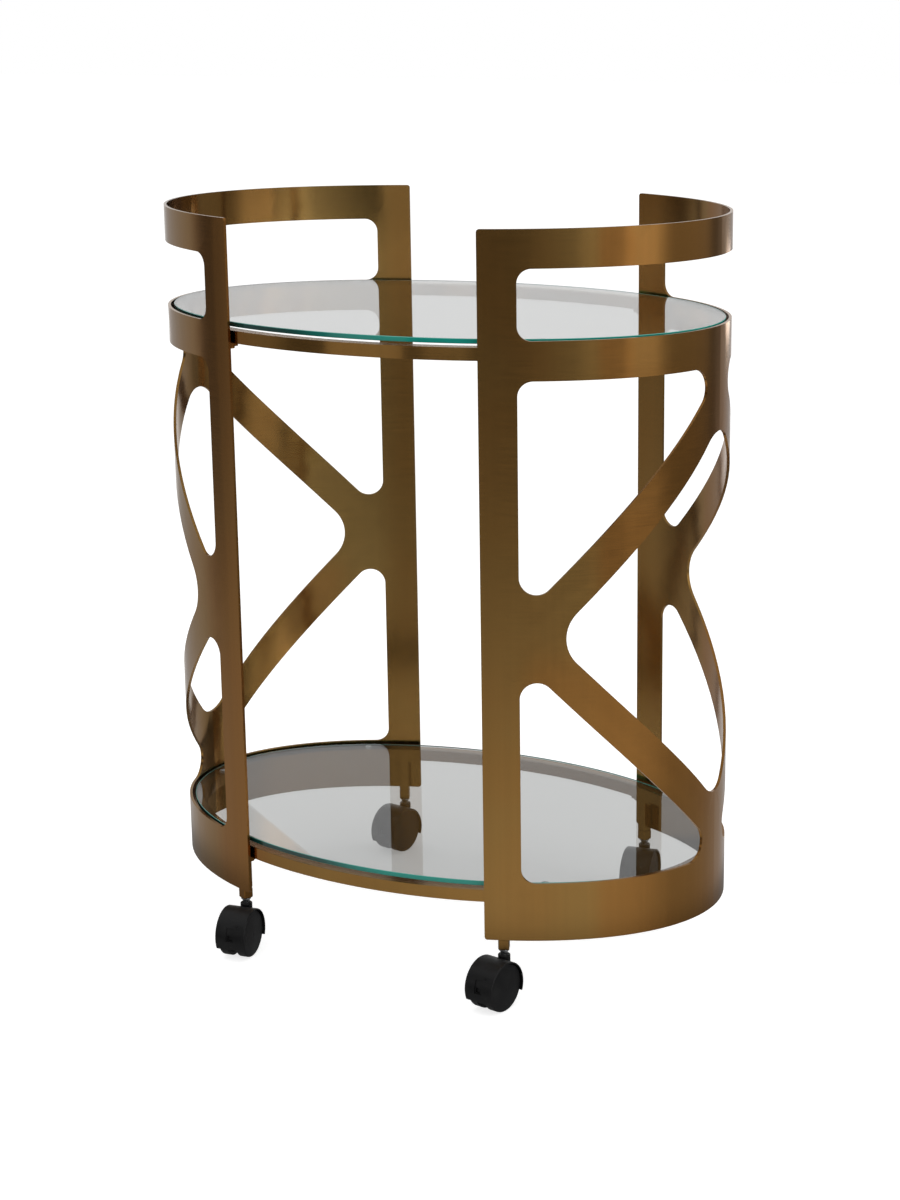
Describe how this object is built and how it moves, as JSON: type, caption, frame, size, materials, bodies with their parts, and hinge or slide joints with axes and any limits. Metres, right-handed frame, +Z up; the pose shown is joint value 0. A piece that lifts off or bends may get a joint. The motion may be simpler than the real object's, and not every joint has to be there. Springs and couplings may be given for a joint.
{
  "type": "bar cart",
  "caption": "Oval bar cart with two rolled lattice end panels, two ring-framed glass shelves and twin-wheel swivel casters.",
  "frame": {"origin": "on the floor, below the middle of the cart's box, casters included, which is 8 mm in front of the middle of the shelves", "axes": "+X along the cart's length from the left end panel to the right one, +Y to the rear, +Z up"},
  "size_m": [0.62, 0.4182, 0.779],
  "materials": {
    "antique_brass": "satin brushed steel with an antique brass plating",
    "clear_glass": "clear polished glass with green edges",
    "clear_bumper": "clear soft polyurethane",
    "zinc_plated_steel": "zinc plated, satin",
    "black_nylon": "moulded black nylon"
  },
  "bodies": {
    "cart": {"front_left_caster_grip_ring": "zinc_plated_steel", "front_left_caster_socket": "antique_brass", "front_left_caster_stem": "zinc_plated_steel", "front_left_lower_tab": "antique_brass", "front_left_upper_tab": "antique_brass", "front_right_caster_grip_ring": "zinc_plated_steel", "front_right_caster_socket": "antique_brass", "front_right_caster_stem": "zinc_plated_steel", "front_right_lower_tab": "antique_brass", "front_right_upper_tab": "antique_brass", "left_end_panel": "antique_brass", "lower_glass_bumpers": "clear_bumper", "lower_glass_shelf": "clear_glass", "lower_shelf_ring": "antique_brass", "lower_tab_screws": "antique_brass", "rear_left_caster_grip_ring": "zinc_plated_steel", "rear_left_caster_socket": "antique_brass", "rear_left_caster_stem": "zinc_plated_steel", "rear_left_lower_tab": "antique_brass", "rear_left_upper_tab": "antique_brass", "rear_right_caster_grip_ring": "zinc_plated_steel", "rear_right_caster_socket": "antique_brass", "rear_right_caster_stem": "zinc_plated_steel", "rear_right_lower_tab": "antique_brass", "rear_right_upper_tab": "antique_brass", "right_end_panel": "antique_brass", "upper_glass_bumpers": "clear_bumper", "upper_glass_shelf": "clear_glass", "upper_shelf_ring": "antique_brass", "upper_tab_screws": "antique_brass"},
    "front_left_caster": {"front_left_caster_hood": "black_nylon", "front_left_caster_axle": "zinc_plated_steel"},
    "front_left_right_wheel": {"front_left_caster_right_wheel": "black_nylon"},
    "front_left_left_wheel": {"front_left_caster_left_wheel": "black_nylon"},
    "front_right_caster": {"front_right_caster_hood": "black_nylon", "front_right_caster_axle": "zinc_plated_steel"},
    "front_right_right_wheel": {"front_right_caster_right_wheel": "black_nylon"},
    "front_right_left_wheel": {"front_right_caster_left_wheel": "black_nylon"},
    "rear_left_caster": {"rear_left_caster_hood": "black_nylon", "rear_left_caster_axle": "zinc_plated_steel"},
    "rear_left_right_wheel": {"rear_left_caster_right_wheel": "black_nylon"},
    "rear_left_left_wheel": {"rear_left_caster_left_wheel": "black_nylon"},
    "rear_right_caster": {"rear_right_caster_hood": "black_nylon", "rear_right_caster_axle": "zinc_plated_steel"},
    "rear_right_right_wheel": {"rear_right_caster_right_wheel": "black_nylon"},
    "rear_right_left_wheel": {"rear_right_caster_left_wheel": "black_nylon"}
  },
  "joints": [
    {"name": "front_left_swivel", "type": "hinge", "parent": "cart", "child": "front_left_caster", "pos_m": [-0.15495, -0.16293, 0.0585], "axis": [0, 0, 1], "continuous": true},
    {"name": "front_left_right_wheel_spin", "type": "hinge", "parent": "front_left_caster", "child": "front_left_right_wheel", "pos_m": [-0.15259, -0.17977, 0.025], "axis": [0.9903, 0.1392, 0], "continuous": true},
    {"name": "front_left_left_wheel_spin", "type": "hinge", "parent": "front_left_caster", "child": "front_left_left_wheel", "pos_m": [-0.15259, -0.17977, 0.025], "axis": [0.9903, 0.1392, 0], "continuous": true},
    {"name": "front_right_swivel", "type": "hinge", "parent": "cart", "child": "front_right_caster", "pos_m": [0.15495, -0.16293, 0.0585], "axis": [0, 0, 1], "continuous": true},
    {"name": "front_right_right_wheel_spin", "type": "hinge", "parent": "front_right_caster", "child": "front_right_right_wheel", "pos_m": [0.152, -0.17968, 0.025], "axis": [0.9848, -0.1736, 0], "continuous": true},
    {"name": "front_right_left_wheel_spin", "type": "hinge", "parent": "front_right_caster", "child": "front_right_left_wheel", "pos_m": [0.152, -0.17968, 0.025], "axis": [0.9848, -0.1736, 0], "continuous": true},
    {"name": "rear_left_swivel", "type": "hinge", "parent": "cart", "child": "rear_left_caster", "pos_m": [-0.15495, 0.17815, 0.0585], "axis": [0, 0, 1], "continuous": true},
    {"name": "rear_left_right_wheel_spin", "type": "hinge", "parent": "rear_left_caster", "child": "rear_left_right_wheel", "pos_m": [-0.15761, 0.16136, 0.025], "axis": [0.9877, -0.1564, 0], "continuous": true},
    {"name": "rear_left_left_wheel_spin", "type": "hinge", "parent": "rear_left_caster", "child": "rear_left_left_wheel", "pos_m": [-0.15761, 0.16136, 0.025], "axis": [0.9877, -0.1564, 0], "continuous": true},
    {"name": "rear_right_swivel", "type": "hinge", "parent": "cart", "child": "rear_right_caster", "pos_m": [0.15495, 0.17815, 0.0585], "axis": [0, 0, 1], "continuous": true},
    {"name": "rear_right_right_wheel_spin", "type": "hinge", "parent": "rear_right_caster", "child": "rear_right_right_wheel", "pos_m": [0.15761, 0.16136, 0.025], "axis": [0.9877, 0.1564, 0], "continuous": true},
    {"name": "rear_right_left_wheel_spin", "type": "hinge", "parent": "rear_right_caster", "child": "rear_right_left_wheel", "pos_m": [0.15761, 0.16136, 0.025], "axis": [0.9877, 0.1564, 0], "continuous": true}
  ]
}
